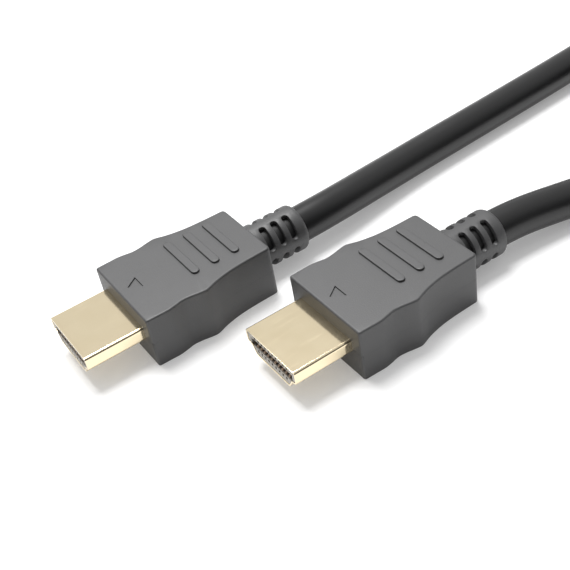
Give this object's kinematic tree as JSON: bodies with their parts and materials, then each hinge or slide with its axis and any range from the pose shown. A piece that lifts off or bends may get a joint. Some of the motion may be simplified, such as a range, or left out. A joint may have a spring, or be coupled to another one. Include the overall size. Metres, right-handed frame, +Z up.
{
  "type": "digital video cable",
  "caption": "Digital video cable with a moulded plug on each end, its spare length wound into a flat round coil held by two ties.",
  "frame": {"origin": "on the floor, under the middle of the box around the two plugs", "axes": "+X from the plugs' mouths towards the cable, +Y from the right plug to the left plug, +Z up"},
  "size_m": [0.2201, 0.0996, 0.0153],
  "materials": {
    "overmould": "matte dark grey moulded plastic with a fine even grain",
    "shell": "polished pale gold plating on a drawn metal shell",
    "insulator": "matt grey-brown moulded plastic",
    "contact": "gold plated contact strip",
    "cable": "satin black soft plastic jacket",
    "tie": "black hook and loop strap"
  },
  "bodies": {
    "root": {"left_overmould": "overmould", "left_shell": "shell", "left_insulator": "insulator", "left_upper_contact_1": "contact", "left_upper_contact_2": "contact", "left_upper_contact_3": "contact", "left_upper_contact_4": "contact", "left_upper_contact_5": "contact", "left_upper_contact_6": "contact", "left_upper_contact_7": "contact", "left_upper_contact_8": "contact", "left_upper_contact_9": "contact", "left_upper_contact_10": "contact", "left_lower_contact_1": "contact", "left_lower_contact_2": "contact", "left_lower_contact_3": "contact", "left_lower_contact_4": "contact", "left_lower_contact_5": "contact", "left_lower_contact_6": "contact", "left_lower_contact_7": "contact", "left_lower_contact_8": "contact", "left_lower_contact_9": "contact", "right_overmould": "overmould", "right_shell": "shell", "right_insulator": "insulator", "right_upper_contact_1": "contact", "right_upper_contact_2": "contact", "right_upper_contact_3": "contact", "right_upper_contact_4": "contact", "right_upper_contact_5": "contact", "right_upper_contact_6": "contact", "right_upper_contact_7": "contact", "right_upper_contact_8": "contact", "right_upper_contact_9": "contact", "right_upper_contact_10": "contact", "right_lower_contact_1": "contact", "right_lower_contact_2": "contact", "right_lower_contact_3": "contact", "right_lower_contact_4": "contact", "right_lower_contact_5": "contact", "right_lower_contact_6": "contact", "right_lower_contact_7": "contact", "right_lower_contact_8": "contact", "right_lower_contact_9": "contact", "left_cable_run": "cable", "right_cable_run": "cable", "cable_coil": "cable", "coil_tie_1": "tie", "coil_tie_2": "tie"}
  },
  "joints": []
}
